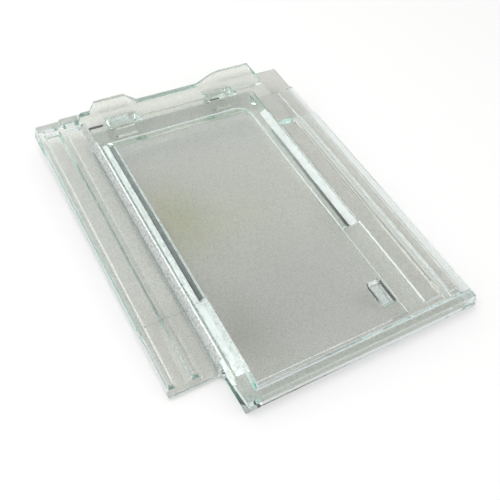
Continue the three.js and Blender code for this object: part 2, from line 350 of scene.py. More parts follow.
@dataclass(frozen=True)
class BattenNib:
    """One rounded tongue that hangs on the roof batten."""

    centre: float
    width: float = 43.0
    tail_face: float = 391.0
    tip_depth: float = 15.0
    root_depth: float = 23.0
    drop: float = 15.0
    radius: float = 11.0
    taper: float = 3.0
    side_top: float = 11.5
    root_top: float = 11.0
    root_low: float = 5.0
    soft: float = 3.0

    def hang(self, x: Array, y: Array) -> Array:
        """Underside of the nib: the higher of a rounded tongue across X and a wedge along Y.

        Across X the tip is flat, then a quarter circle, then a steep side. Along Y the tail face
        stands upright and the head face leans back.
        """
        low, r = -self.drop, self.radius
        half = self.width / 2
        flat = half - self.taper - r
        out = np.clip(np.abs(x - self.centre) - flat, 0, r)
        tongue = low + r - np.sqrt(np.maximum(r**2 - out**2, 0))
        off = np.abs(x - self.centre)
        foot = half - self.taper
        side = along(off, ((foot, low + r), (half, self.side_top), (half + 1, OPEN_AIR)))
        across = np.where(off < foot, tongue, side)
        start = self.tail_face
        line = (
            (start - 0.4, OPEN_AIR),
            (start, self.root_top),
            (start + 0.6, low),
            (start + self.tip_depth, low),
            (start + self.root_depth, self.root_low),
            (start + self.root_depth + 1, OPEN_AIR),
        )
        wedge = along(y, line)
        blend = np.clip(0.5 + (wedge - across) / (2 * self.soft), 0, 1)
        return across * (1 - blend) + wedge * blend + self.soft * blend * (1 - blend)

    def x_edges(self) -> list[float]:
        """Plan lines at the nib's sides."""
        half = self.width / 2
        return [self.centre - half, self.centre + half]

    def y_edges(self) -> list[float]:
        """Plan lines at the nib's tail face and head face."""
        return [self.tail_face, self.tail_face + self.tip_depth, self.tail_face + self.root_depth]


@dataclass(frozen=True)
class LocatingPad:
    """The small tapered pad under the tail end of the pane, with a fine ridge beside it."""

    x0: float = 236.5
    x1: float = 253.5
    y0: float = 35.0
    y1: float = 67.0
    top: float = 12.0
    bottom: float = 4.0
    slope: float = 3.0
    ridge_x: tuple[float, float] = (254.0, 275.5)
    ridge_y: float = 34.5
    ridge_drop: float = 0.7
    ridge_wide: float = 0.7

    def hang(self, x: Array, y: Array) -> Array:
        """Underside of the pad: the highest of four sloped sides, never below its flat bottom."""
        rise = self.top - self.bottom
        away = np.maximum.reduce([self.x0 - x, x - self.x1, self.y0 - y, y - self.y1])
        side = self.top + away * rise / self.slope
        return np.where(side > self.top, OPEN_AIR, np.maximum(side, self.bottom))

    def ridge(self, x: Array, y: Array) -> Array:
        """Depth of the fine ridge: a low bell over Y, kept between the ridge's two ends."""
        bell = np.exp(-(((y - self.ridge_y) / self.ridge_wide) ** 2))
        start, end = self.ridge_x
        return self.ridge_drop * bell * ((x > start) & (x < end))

    def x_edges(self) -> list[float]:
        """Plan lines at the pad's sides."""
        return [self.x0, self.x0 + self.slope, self.x1 - self.slope, self.x1, *self.ridge_x]

    def y_edges(self) -> list[float]:
        """Plan lines at the pad's ends."""
        return [self.ridge_y, self.y0, self.y0 + self.slope, self.y1 - self.slope, self.y1]


# ---- Tones: painted light and shade ----


@dataclass(frozen=True)
class Zone:
    """A stretch of the underside with one painted tone, where values below 1 are painted shade."""

    name: str
    x: tuple[float, float]
    y: tuple[float, float]
    painted_tone: float
    soft: float = 0.35

    def share(self, x: Array, y: Array) -> Array:
        """One inside the zone, falling to nothing over its soft margin."""
        s = self.soft
        (x0, x1), (y0, y1) = self.x, self.y
        across = along(x, ((x0 - s, 0.0), (x0 + s, 1.0), (x1 - s, 1.0), (x1 + s, 0.0)))
        return across * along(y, ((y0 - s, 0.0), (y0 + s, 1.0), (y1 - s, 1.0), (y1 + s, 0.0)))


@dataclass(frozen=True)
class Strip:
    """A narrow pebbled stretch of a face, with a painted light value at its tail end and its head
    end.

    From 0 to 1 the value is how white the strip is painted, and low values are painted shade. Above
    1
    it also glows: a painted glow for the light that the bars gather.
    """

    name: str
    x: tuple[float, float]
    y: tuple[float, float]
    light: float
    head_light: float = 0.0

    def covers(self, x: Array, y: Array) -> Array:
        """True inside the strip."""
        return (x > self.x[0]) & (x < self.x[1]) & (y > self.y[0]) & (y < self.y[1])

    def shade(self, y: Array) -> Array:
        """The light value up the strip, which never falls below the tail end's."""
        ends = ((self.y[0], self.light), (self.y[1], max(self.light, self.head_light)))
        return along(y, ends)


@dataclass(frozen=True)
class LightAndShadePatch:
    """A wide soft patch of painted tone, painted shade below 1 and painted light above: a bell over
    X times a bell over Y.
    """

    x: float
    y: float
    wide: float
    tall: float
    tone: tuple[float, float, float]

    def share(self, x: Array, y: Array) -> Array:
        """The bell's height: exp(-(dx / wide)^2 - (dy / tall)^2)."""
        return np.exp(-(((x - self.x) / self.wide) ** 2) - ((y - self.y) / self.tall) ** 2)


@dataclass(frozen=True)
class PaintedLightAndShade:
    """Painted light and shade: how dark and how warm the underside is painted, and where the faces
    are pebbled and carry a painted light value.
    """

    # Painted shade: base darkens the whole underside, and darker zones are painted warmer.
    base: float = 0.66
    warmth: tuple[float, float, float] = (1.0, 0.981, 0.855)
    warming: float = 6.0  # how soon a zone of darker painted shade takes on the full warmth
    pane: Zone = Zone("pane", (77, 268), (18, 362), 1.0)
    # Zones of painted shade: below 1 the underside is painted darker.
    zones: tuple[Zone, ...] = (
        Zone("underlock_outer", (-5, 26), (40, 430), 0.87),
        Zone("underlock_inner", (26, 57), (40, 430), 0.85),
        Zone("underlock_tail", (16, 57), (20, 135), 0.70, 14),
        Zone("tail_land", (57, 345), (-5, 18), 0.62),
        Zone("right_land", (256.5, 280), (18, 358), 0.68),
        Zone("groove_inner", (280, 304), (18, 420), 0.58),
        Zone("hanging_rib", (304, 313.5), (18, 420), 0.86),
        Zone("groove_outer", (313.5, 325.5), (18, 420), 0.58),
        Zone("flange", (326, 345), (-5, 380), 1.0),
        Zone("head_land", (57, 300), (375, 426), 0.75),
        Zone("lobes", (57, 300), (426, 445), 0.78),
        Zone("strip", (300, 335), (320, 425), 0.44),
        Zone("head_bar", (77, 274), (359, 391), 0.58),
        Zone("left_bar_edge", (57, 64), (30, 372), 0.84),
    )
    # Painted shade where a strip's light value is low, painted glow where it is above 1; the gleams
    # and glints are painted highlights.
    under_strips: tuple[Strip, ...] = (
        Strip("wall_foot", (52.5, 64.8), (50, 371), 0.94),
        Strip("left_bar_sole", (64.4, 70.6), (123.5, 371), 1.5),
        Strip("left_bar_slope", (70.6, 75.9), (125, 366), 0.12, 0.45),
        Strip("relieved_sole", (64.8, 71.5), (34, 122.5), 1.45),
        Strip("relieved_slope", (71.5, 77), (34, 122.5), 1.34),
        Strip("right_bar_slope", (270.6, 278.8), (142, 352), 1.5),
        Strip("right_bar_foot", (267.0, 270.6), (142, 320), 0.08, 0.75),
        Strip("right_bar_inner", (255.8, 257.4), (138, 352), 1.4),
        Strip("groove_wall", (279.2, 280.4), (21, 141), 1.6),
        Strip("rib_shade", (301.7, 302.7), (40, 300), 0.2, 0.6),
        Strip("rib_line_left", (303.4, 304.6), (21, 376), 1.35),
        Strip("rib_line_right", (312.0, 313.2), (21, 376), 1.3),
        Strip("flange_line", (325.2, 327.0), (21, 376), 1.35),
        Strip("flange_shade", (328.4, 329.2), (21, 376), 0.45),
        Strip("left_nib_painted_shade", (90, 97), (397, 399), 0.1),
        Strip("left_nib_shade_fleck", (100, 112), (402.4, 404), 0.12),
        Strip("left_nib_gleam", (97, 108), (398.4, 400.4), 1.4),
        Strip("right_nib_painted_shade", (221, 231), (397.6, 399.6), 0.1),
        Strip("right_nib_shade_fleck", (235, 243), (400.6, 402.4), 0.12),
        Strip("right_nib_gleam", (231, 236), (398.6, 401.4), 1.45),
        Strip("hollow_tail", (77, 236), (17.6, 18.5), 1.5),
        Strip("hollow_corner", (238, 256), (17.6, 18.4), 0.3),
        Strip("rib_line", (36.0, 36.9), (48, 410), 1.4),
        Strip("pad_left_side", (235.8, 239.8), (44, 66), 0.06),
        Strip("pad_right_side", (251.9, 253.8), (36, 64), 0.10),
        Strip("pad_sole", (241, 249), (40, 62), 1.18),
        Strip("pad_head_side", (239.5, 250.5), (64.2, 66.8), 1.5),
        Strip("rim_crease_shade", (60, 78), (401.0, 403.6), 0.05),
        Strip("rim_glint", (150, 190), (401.6, 402.6), 1.4),
        Strip("tail_corner", (58.5, 70), (1.5, 12.5), 1.0),
        Strip("left_nib_glint", (93, 118), (391.2, 392.4), 1.4),
        Strip("right_nib_toe", (226, 240), (404.6, 406.6), 0.1),
        Strip("right_nib_glint", (240, 249), (405, 408), 1.4),
    )
    # Painted glow along the crests, painted shade on the body wall.
    weather_strips: tuple[Strip, ...] = (
        Strip("body_wall", (52.3, 57.2), (52, 411), 0.80),
        Strip("wall_crest", (57.2, 58.0), (52, 370), 1.25),
        Strip("rib_crest", (32.0, 32.9), (52, 410), 1.2),
        Strip("outer_rib_crest", (6.4, 7.2), (52, 410), 1.2),
    )
    # Painted shade patches (olive and dim tones) and painted light patches (tones above 1) over the
    # pane.
    light_and_shade_patches: tuple[LightAndShadePatch, ...] = (
        LightAndShadePatch(92, 230, 40, 62, (0.69, 0.705, 0.46)),
        LightAndShadePatch(150, 210, 60, 45, (0.97, 0.98, 0.90)),
        LightAndShadePatch(175, 200, 70, 34, (0.99, 1.0, 0.94)),
        LightAndShadePatch(82, 70, 40, 50, (0.58, 0.56, 0.54)),
        LightAndShadePatch(140, 80, 120, 85, (0.78, 0.775, 0.81)),
        LightAndShadePatch(256, 227, 16, 60, (1.36, 1.37, 1.36)),
        LightAndShadePatch(240, 330, 50, 50, (1.08, 1.08, 1.12)),
        LightAndShadePatch(110, 335, 60, 50, (1.0, 1.0, 1.06)),
    )

    def paint(self, x: Array, y: Array) -> Array:
        """Painted shade and light of the underside, as red, green and blue shares of the light that
        is let through.
        """
        painted_level = np.full(x.shape, self.base)
        for zone in self.zones:
            share = zone.share(x, y)
            painted_level = painted_level * (1 - share) + zone.painted_tone * share
        tone = painted_level[..., None] * np.ones(3)
        grey = np.clip((1 - painted_level) * self.warming, 0, 1)[..., None]
        tone = tone * (1 - grey + grey * np.array(self.warmth))
        pane = self.pane.share(x, y)[..., None]
        for patch in self.light_and_shade_patches:
            share = patch.share(x, y)[..., None] * pane
            tone = tone * (1 - share + share * np.array(patch.tone))
        return np.clip(tone, 0.0, 1.0)

    def mark(self, side: Side, x: Array, y: Array) -> tuple[Array, Array]:
        """Whether each place on a face is in a pebbled strip, and the strip's painted light value.
        """
        inside, light = np.zeros(x.shape, dtype=bool), np.ones(x.shape)
        for strip in self.weather_strips if side is Side.WEATHER else self.under_strips:
            hit = strip.covers(x, y)
            inside |= hit
            light = np.where(hit, strip.shade(y), light)
        return inside, light


# ---- The whole pressing ----


@dataclass(frozen=True)
class PressedEdge:
    """How the mould softens edges."""

    rim_radius: float = 1.3
    ease: float = 0.55
    rings: tuple[tuple[float, int, float], ...] = ((0.0, 1, 0.2), (0.5, 6, 0.4), (1.0, 10, 0.4))
    most_roll: float = 1.4

    def roll(self, away: Array) -> Array:
        """Fall of the rim at a distance from the outline: r - sqrt(r^2 - (r - d)^2)."""
        r = self.rim_radius
        left = r - np.clip(away, 0, r)
        return np.clip(r - np.sqrt(np.maximum(r**2 - left**2, 0)), 0, self.most_roll)


@dataclass(frozen=True)
class Ripple:
    """Fire-polished unevenness: on each face, long low waves that cross at odd angles."""

    weather: tuple[tuple[float, ...], ...] = (
        (0.031, 0.012, 0.020, 0.3),
        (-0.017, 0.027, 0.018, 1.9),
        (0.06, 0.048, 0.006, 0.7),
    )
    under: tuple[tuple[float, ...], ...] = (
        (0.043, -0.021, 0.022, 1.1),
        (0.022, 0.052, 0.018, 2.7),
        (0.09, 0.07, 0.008, 0.2),
    )

    def height(self, side: Side, x: Array, y: Array) -> Array:
        """Sum of the waves: size * sin(pi * (across * x + up * y) + phase)."""
        total = np.zeros_like(x)
        for across, up, size, phase in self.weather if side is Side.WEATHER else self.under:
            total += size * np.sin(math.pi * (across * x + up * y) + phase)
        return total


@dataclass(frozen=True)
class GridSpacing:
    """Where the grid's lines run, besides the edges of the parts."""

    spread: tuple[float, ...] = (-0.75, -0.25, 0.25, 0.75)  # lines at each edge
    rim_steps: tuple[float, ...] = (0, 0.03, 0.12, 0.28, 0.5, 0.75, 1.0, 1.45)
    few_rim_steps: tuple[float, ...] = (0, 0.12, 0.5, 1.0)
    least_gap: float = 0.24
    rim_zone: float = 2.0  # lines this close to a rim are all kept
    widest_across: float = 9.0
    widest_up: float = 12.0
    curve_step: float = 2.5
    nib_reach: float = 20.0
    notch_reach: float = 9.0
    notch_step: float = 1.1
    web: tuple[float, float] = (345.0, 375.0)
    strip_x: tuple[float, float] = (10.0, 330.0)
    strip_y: tuple[float, float] = (60.0, 410.0)


@dataclass
class RoofTile:
    """The pressing as one closed surface over a grid laid along its own edges."""

    body: Body = Body()
    lip: TailLip = TailLip()
    underlock: Underlock = Underlock()
    overlock: Overlock = Overlock()
    frame: StiffeningFrame = StiffeningFrame()
    head: HeadEdge = HeadEdge()
    nibs: tuple[BattenNib, ...] = (BattenNib(104.0), BattenNib(237.5))
    pad: LocatingPad = LocatingPad()
    edge: PressedEdge = PressedEdge()
    tones: PaintedLightAndShade = PaintedLightAndShade()
    wave: Ripple = Ripple()
    spacing: GridSpacing = GridSpacing()
    notch_radius: float = 8.0
    notch_y: float = 42.0
    strip_right: Points = ((56.3, 0.0), (57.3, OPEN_AIR))
    bar_right: float = 71.5
    ramp: float = 0.35  # run of the notch's step on the plan
    end_ramp: float = 0.4  # run of the head edge's two steps
    straight_from: float = 54.0
    straight_to: float = 405.0
    wall_blend: tuple[float, ...] = (40.0, 47.3, 60.3, 70.0)
    margin: float = 2.4
    least_thickness: float = 1.2
    wall_levels: tuple[float, ...] = (0.06, 0.5, 0.94)
    # Painted shade on the walls: their tone is painted a little darker.
    wall_painted_tone: float = 0.93

    # -- Heights --

    def weather(self, x: Array, y: Array) -> Array:
        """Exact height of the weather face, before its edges are eased."""
        return self.underlock.stand(x, y) - self.overlock.step(x, y)

    def under(self, x: Array, y: Array) -> Array:
        """Exact height of the underside: the lowest of the land and everything that hangs."""
        land = self.body.land(x, y)
        low = self.overlock.ceilings(x, y, land)
        parts = [self.lip, self.overlock, self.frame, self.head, *self.nibs, self.pad]
        for part in parts:
            low = np.minimum(low, part.hang(x, y))
        corner = np.where(x < self.bar_right, 0.0, OPEN_AIR)
        strip = np.where(y > self.notch_y, along(x, self.strip_right), corner)
        low = np.minimum(low, strip)
        low = low - self.pad.ridge(x, y)
        relief = self.underlock.relief(x, y)
        return np.where(relief > 0.01, np.maximum(low, relief), low)

    def eased(self, side: Side, x: Array, y: Array) -> Array:
        """Height with the mould's soft edges: the mean of the exact height over a small disc."""
        height = self.weather if side is Side.WEATHER else self.under
        total, weight = np.zeros_like(x), 0.0
        for ring, count, share in self.edge.rings:
            for turn in np.arange(count) * (2 * math.pi / count):
                dx = math.cos(turn) * ring * self.edge.ease
                dy = math.sin(turn) * ring * self.edge.ease
                total += height(x + dx, y + dy) * share / count
                weight += share / count
        return total / weight

    # -- Plan --

    def tail_edge(self, x: Array, side: Side) -> Array:
        """The tail edge's place up the tile: the underlock's end, the notch's arc, the tail."""
        wall = self.body.wall_top if side is Side.WEATHER else self.body.wall_bottom
        r = self.notch_radius
        arc_x = wall - r
        end = self.underlock.tail
        turn = np.clip(x - arc_x, 0, r)
        arc = end - r + np.sqrt(np.maximum(r**2 - turn**2, 0))
        back = self.body.lip_set_back if side is Side.WEATHER else 0.0
        drop = along(x, ((wall - self.ramp, 0.0), (wall, 1.0)))
        return arc * (1 - drop) + back * drop

    def head_edge(self, x: Array) -> Array:
        """The head edge's place up the tile, with its two lobes."""
        wall = self.body.wall_top
        ramp, end = self.end_ramp, self.head.right_end
        body = along(x, ((wall - ramp, self.underlock.head), (wall, self.body.length)))
        edge = body + self.head.reach_at(x)
        strip = along(x, ((end, 0.0), (end + ramp, 1.0)))
        return edge * (1 - strip) + self.overlock.head * strip

    def right_edge(self, y: Array, side: Side) -> Array:
        """The right edge's place across the tile: it leans out to the rims, then steps in."""
        end = self.overlock.flange_end
        weather = side is Side.WEATHER
        lean = self.overlock.weather_lean if weather else self.overlock.under_lean
        edge = self.body.width + along(y, lean)
        inner = along(y, ((end - 0.5, 0.0), (end, 1.0)))
        return edge * (1 - inner) + self.overlock.edge * inner

    def lines(
        self, edges: list[float], single: list[float], low: float, high: float, fill: float
    ) -> Array:
        """Grid lines: close together at each edge, with even ones between.

        Args:
            edges: Places where the height changes.
            single: Places that need one line and no more.
            low: First line.
            high: Last line.
            fill: Widest gap between lines.

        Returns:
            The lines' places, in rising order.
        """
        spacing = self.spacing
        rim = self.edge.rim_radius * np.array(spacing.rim_steps)
        near_edges = (np.array(edges)[:, None] + np.array(spacing.spread)).ravel()
        places = np.concatenate([near_edges, np.array(single)])
        inner = places[(places > low + rim[-1]) & (places < high - rim[-1])]
        places = np.sort(np.concatenate([inner, low + rim, high - rim]))
        gaps, zone = np.diff(places), spacing.rim_zone
        at_rim = (places[1:] < low + zone) | (places[1:] > high - zone)
        keep = np.concatenate([[True], (gaps > spacing.least_gap) | at_rim])
        places = places[keep]
        more = [
            np.linspace(a, b, int(math.ceil((b - a) / fill)) + 1)[1:-1]
            for a, b in zip(places[:-1], places[1:])
            if b - a > fill
        ]
        return np.sort(np.concatenate([places, *more]))

    def lines_across(self, edges: list[float]) -> Array:
        """Grid lines across the tile, closer round the nibs, the notch and the right lobe."""
        spacing = self.spacing
        rim = self.edge.rim_radius * np.array(spacing.few_rim_steps)
        wall, lobe = self.body.wall_bottom, self.head.right_end
        low, high = spacing.strip_x
        single = [x for strip in self.tones.under_strips for x in strip.x if low < x < high]
        for nib in self.nibs:
            end = nib.centre + spacing.nib_reach + 0.5
            single += list(np.arange(nib.centre - spacing.nib_reach, end, spacing.curve_step))
        single += list(np.arange(wall - spacing.notch_reach, wall, spacing.notch_step))
        single += [*(wall + rim), *(lobe - rim), lobe + self.end_ramp, wall - self.ramp]
        width = self.body.width + self.body.flare
        return self.lines(edges, single, 0.0, width, spacing.widest_across)

    def lines_up(self, edges: list[float]) -> Array:
        """Grid lines up the tile, closer at the frame's rounded corner."""
        spacing = self.spacing
        low, high = spacing.strip_y
        single = [y for strip in self.tones.under_strips for y in strip.y if low < y < high]
        single += list(np.arange(*spacing.web, spacing.curve_step))
        length = self.body.length + self.head.reach
        return self.lines(edges, single, 0.0, length, spacing.widest_up)

    def grid(self) -> tuple[Array, Array]:
        """The grid's own coordinates, across and up, before they are bent to the outline."""
        parts = [self.body, self.underlock, self.overlock, self.frame, self.head, self.pad]
        parts += self.nibs
        across = [x for part in parts for x in part.x_edges()]
        up = [y for part in (*parts, self.lip) for y in part.y_edges()]
        return self.lines_across(across), self.lines_up(up)

    def bend(self, u: Array, v: Array, side: Side) -> tuple[Array, Array]:
        """Bends the grid to the outline.

        Near an edge a grid line keeps its distance from that edge; further in, the distance is
        shared out evenly until the grid runs straight.

        Args:
            u: Grid coordinate across, as a full array.
            v: Grid coordinate up, as a full array.
            side: Which face the grid is for.

        Returns:
            (x, y) places on the plan.
        """
        top = side is Side.WEATHER
        m = self.margin
        (left, _), (rib, _), _ = self.underlock.outer_rib
        left = left if top else 0.0
        x = np.where(u < m, left + u, np.interp(u, [m, rib], [left + m, rib]))
        shift = self.body.wall_top - self.body.wall_bottom if top else 0.0
        moved = u + shift * along(u, tuple(zip(self.wall_blend, (0, 1, 1, 0))))
        x = np.where(u > rib, moved, x)
        y = self.bend_up(x, v, side)
        right = self.right_edge(y, side)
        full = self.body.width + self.body.flare
        start = self.overlock.flange[1][0]
        inner = start + (u - start) * (right - m - start) / (full - m - start)
        x = np.where(u > full - m, right - (full - u), np.where(u > start, inner, x))
        return x, y

    def bend_up(self, x: Array, v: Array, side: Side) -> Array:
        """The grid's place up the tile, bent to the tail edge and the head edge."""
        m = self.margin
        tail, head = self.tail_edge(x, side), self.head_edge(x)
        end = self.body.length + self.head.reach
        low, high = self.straight_from, self.straight_to
        near_tail = tail + m + (v - m) * (low - tail - m) / (low - m)
        near_head = high + (v - high) * (head - m - high) / (end - m - high)
        y = np.where(v < m, tail + v, np.where(v < low, near_tail, v))
        return np.where(v > end - m, head - (end - v), np.where(v > high, near_head, y))

    def outline(self, side: Side) -> Array:
        """The plan outline as a loop of points, read off the grid's own rim."""
        u, v = self.grid()
        rim_u = np.concatenate([u, np.full(len(v), u[-1]), u[::-1], np.full(len(v), u[0])])
        rim_v = np.concatenate([np.full(len(u), v[0]), v, np.full(len(u), v[-1]), v[::-1]])
        x, y = self.bend(rim_u, rim_v, side)
        return np.column_stack([x, y])

    @staticmethod
    def distance(x: Array, y: Array, loop: Array, reach: float) -> Array:
        """Distance from each place to a closed loop, the least over the loop's straight runs.

        Args:
            x: Places across.
            y: Places up.
            loop: Corner points of the loop.
            reach: Largest distance that matters.

        Returns:
            The distance, no more than reach.
        """
        nearest = np.full(x.shape, reach)
        for (ax, ay), (bx, by) in zip(loop[:-1], loop[1:]):
            run = (bx - ax) ** 2 + (by - ay) ** 2
            if run < 1e-12:
                continue
            box = (x > min(ax, bx) - reach) & (x < max(ax, bx) + reach)
            box &= (y > min(ay, by) - reach) & (y < max(ay, by) + reach)
            px, py = x[box], y[box]
            t = np.clip(((px - ax) * (bx - ax) + (py - ay) * (by - ay)) / run, 0, 1)
            away = np.hypot(px - ax - t * (bx - ax), py - ay - t * (by - ay))
            nearest[box] = np.minimum(nearest[box], away)
        return nearest

    def face(self, side: Side) -> Array:
        """One face of the pressing as a grid of points.

        Args:
            side: Which face.

        Returns:
            An array of rows, columns and three coordinates.
        """
        u, v = self.grid()
        grid_u, grid_v = np.meshgrid(u, v)
        x, y = self.bend(grid_u, grid_v, side)
        away = self.distance(x, y, self.outline(side), self.edge.rim_radius)
        height = self.eased(side, x, y)
        roll = self.edge.roll(away)
        height = height + (-roll if side is Side.WEATHER else roll)
        height = height + self.wave.height(side, x, y) * (1 - np.clip(roll, 0, 1))
        return np.stack([x, y, height], axis=-1)

    def skin(self, top: Array, low: Array) -> tuple[Array, Array]:
        """Joins the two faces by a wall between their rims.

        Args:
            top: The weather face's grid of points.
            low: The underside's grid of points.

        Returns:
            (points, faces): all points, and four point numbers for each face.
        """
        rows, columns = top.shape[:2]
        index = np.arange(rows * columns).reshape(rows, columns)
        loop = np.concatenate([index[0, :-1], index[:-1, -1], index[-1, :0:-1], index[:0:-1, 0]])
        flat_top, flat_low = top.reshape(-1, 3), low.reshape(-1, 3)
        levels = [flat_top[loop] * (1 - t) + flat_low[loop] * t for t in self.wall_levels]
        points = np.concatenate([flat_top, flat_low, *levels])
        count, ring = rows * columns, len(loop)
        a, b = index[:-1, :-1].ravel(), index[:-1, 1:].ravel()
        c, d = index[1:, 1:].ravel(), index[1:, :-1].ravel()
        faces = [np.column_stack([a, b, c, d]), np.column_stack([a, d, c, b]) + count]
        between = [2 * count + k * ring + np.arange(ring) for k in range(len(levels))]
        bands = [loop, *between, loop + count]
        for upper, lower in zip(bands[:-1], bands[1:]):
            faces.append(np.column_stack([upper, lower, np.roll(lower, -1), np.roll(upper, -1)]))
        return points, np.concatenate(faces)

    def placed(self, points: Array) -> Array:
        """Moves points to the frame of the CAD, in metres, and keeps them in its box."""
        low_corner, high_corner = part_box(NODE)
        width = self.body.width + self.body.flare
        length = self.body.length + self.head.reach
        origin = np.array([width / 2, length / 2, -self.nibs[0].drop])
        return np.clip((points - origin) * MM, np.array(low_corner), np.array(high_corner))

    def slots(self, top: Array, low: Array, count: int) -> tuple[Array, Array]:
        """Finish of each of the mesh's faces, 1 on the pebbled strips, and its painted light value.
        """
        slots, lights = np.zeros(count, dtype=np.int32), np.ones(count)
        for place, (side, grid) in enumerate(((Side.WEATHER, top), (Side.UNDER, low))):
            middle = (grid[:-1, :-1] + grid[1:, 1:]) / 2
            pebbled, light = self.tones.mark(side, middle[..., 0], middle[..., 1])
            run = slice(place * pebbled.size, (place + 1) * pebbled.size)
            slots[run], lights[run] = pebbled.ravel(), light.ravel()
        return slots, lights

    def dress(self, mesh: bpy.types.Mesh, top: Array, low: Array) -> None:
        """Stores the finish and painted light value of each face, and the painted shade tone of
        each point.

        Args:
            mesh: The tile's mesh.
            top: The weather face's grid of points.
            low: The underside's grid of points.
        """
        slots, lights = self.slots(top, low, len(mesh.polygons))
        mesh.polygons.foreach_set("use_smooth", np.ones(len(slots), dtype=bool))
        mesh.polygons.foreach_set("material_index", slots)
        mesh.update()
        mark = mesh.attributes.new(MARK, "FLOAT", "FACE")
        mark.data.foreach_set("value", lights)
        count = top.shape[0] * top.shape[1]
        tone = np.ones((len(mesh.vertices), 4))
        tone[count : 2 * count, :3] = self.tones.paint(low[..., 0], low[..., 1]).reshape(-1, 3)
        # The walls' painted shade.
        tone[2 * count :, :3] = self.wall_painted_tone
        colour = mesh.attributes.new(TONE, "FLOAT_COLOR", "POINT")
        colour.data.foreach_set("color", tone.ravel())

    def build(self) -> bpy.types.Object:
        """Makes the tile's mesh: the two faces and the wall that joins their rims.

        Returns:
            The tile's object, in metres in the frame of the CAD.
        """
        top, low = self.face(Side.WEATHER), self.face(Side.UNDER)
        low[..., 2] = np.minimum(low[..., 2], top[..., 2] - self.least_thickness)
        points, faces = self.skin(top, low)
        mesh = bpy.data.meshes.new("roof_tile")
        mesh.from_pydata(self.placed(points).tolist(), [], faces.tolist())
        self.dress(mesh, top, low)
        tile = bpy.data.objects.new("roof_tile", mesh)
        bpy.context.scene.collection.objects.link(tile)
        log.info("roof_tile: %d vertices, %d faces", len(mesh.vertices), len(mesh.polygons))
        # The zones and strips logged here carry painted light and shade.
        marked = (*self.tones.zones, *self.tones.under_strips, *self.tones.weather_strips)
        log.info("toned or pebbled: %s", ", ".join(mark.name for mark in marked))
        return tile


# ---- Finishes ----


@dataclass(frozen=True)
class Grain:
    """One use of the mould's fine grain: its size, and how far its flecks are stretched."""

    scale: float
    detail: float = 3.0
    start: float = 0.0
    end: float = 1.0
    low: float = 0.0
    high: float = 1.0

    def node(self, tree: Tree, group: Tree) -> bpy.types.Node:
        """Adds the shared grain group to a material with these settings."""
        node = tree.nodes.new("ShaderNodeGroup")
        node.node_tree = group
        for name, value in zip(GRAIN_INPUTS, astuple(self)):
            node.inputs[name].default_value = value
        return node


def grain_group() -> Tree:
    """Makes the node group for the fine grain that the mould leaves on both finishes.

    Returns:
        The group. Height is the grain from 0 to 1; Fleck is the grain stretched from
        Start and End to Low and High.
    """
    group = bpy.data.node_groups.new("mould_grain", "ShaderNodeTree")
    for name in GRAIN_INPUTS:
        group.interface.new_socket(name, in_out="INPUT", socket_type="NodeSocketFloat")
    for name in ("Height", "Fleck"):
        group.interface.new_socket(name, in_out="OUTPUT", socket_type="NodeSocketFloat")
    nodes, link = group.nodes, group.links.new
    given, result = nodes.new("NodeGroupInput"), nodes.new("NodeGroupOutput")
    noise, fleck = nodes.new("ShaderNodeTexNoise"), nodes.new("ShaderNodeMapRange")
    link(nodes.new("ShaderNodeTexCoord").outputs["Object"], noise.inputs["Vector"])
    for name in ("Scale", "Detail"):
        link(given.outputs[name], noise.inputs[name])
    for name, end in zip(GRAIN_INPUTS[2:], ("From Min", "From Max", "To Min", "To Max")):
        link(given.outputs[name], fleck.inputs[end])
    link(noise.outputs["Fac"], fleck.inputs["Value"])
    link(noise.outputs["Fac"], result.inputs["Height"])
    link(fleck.outputs["Result"], result.inputs["Fleck"])
    return group


@dataclass(frozen=True)
class Glass:
    """What the tile's two finishes share: soda-lime glass with the mould's grain on it."""

    refraction: float = 1.52
    clear_share: float = 1.0
    roughness: float = 0.015
    grain_depth: float = 0.00006

    def blank(self, name: str) -> tuple[bpy.types.Material, bpy.types.Node]:
        """A new material of this glass without its colour, and the material's shader."""
        made = bpy.data.materials.new(name)
        made.use_nodes = True
        shader = made.node_tree.nodes["Principled BSDF"]
        shader.inputs["IOR"].default_value = self.refraction
        shader.inputs["Transmission Weight"].default_value = self.clear_share
        shader.inputs["Roughness"].default_value = self.roughness
        return made, shader

    def bump(self, tree: Tree, height: Socket) -> Socket:
        """The normal of glass with a grain of this finish's depth."""
        node = tree.nodes.new("ShaderNodeBump")
        node.inputs["Strength"].default_value = 1.0
        node.inputs["Distance"].default_value = self.grain_depth
        tree.links.new(height, node.inputs["Height"])
        return node.outputs["Normal"]

    @staticmethod
    def attribute(tree: Tree, name: str) -> bpy.types.Node:
        """A node that reads one of the mesh's own attributes."""
        node = tree.nodes.new("ShaderNodeAttribute")
        node.attribute_name = name
        return node

    @staticmethod
    def mix(tree: Tree, first: Socket, blend: str = "MIX") -> bpy.types.Node:
        """A colour mix node with its first colour linked and its factor at 1."""
        node = tree.nodes.new("ShaderNodeMix")
        node.data_type, node.blend_type = "RGBA", blend
        node.inputs["Factor"].default_value = 1.0
        tree.links.new(first, node.inputs["A"])
        return node

    @staticmethod
    def part(tree: Tree, mark: Socket, start: float, fleck: Socket) -> Socket:
        """The part of a light value from start to start + 1, brought to 0-1, times the fleck."""
        cut = tree.nodes.new("ShaderNodeMapRange")
        cut.inputs["From Min"].default_value = start
        cut.inputs["From Max"].default_value = start + 1.0
        tree.links.new(mark, cut.inputs["Value"])
        node = tree.nodes.new("ShaderNodeMath")
        node.operation = "MULTIPLY"
        tree.links.new(cut.outputs["Result"], node.inputs[0])
        tree.links.new(fleck, node.inputs[1])
        return node.outputs["Value"]


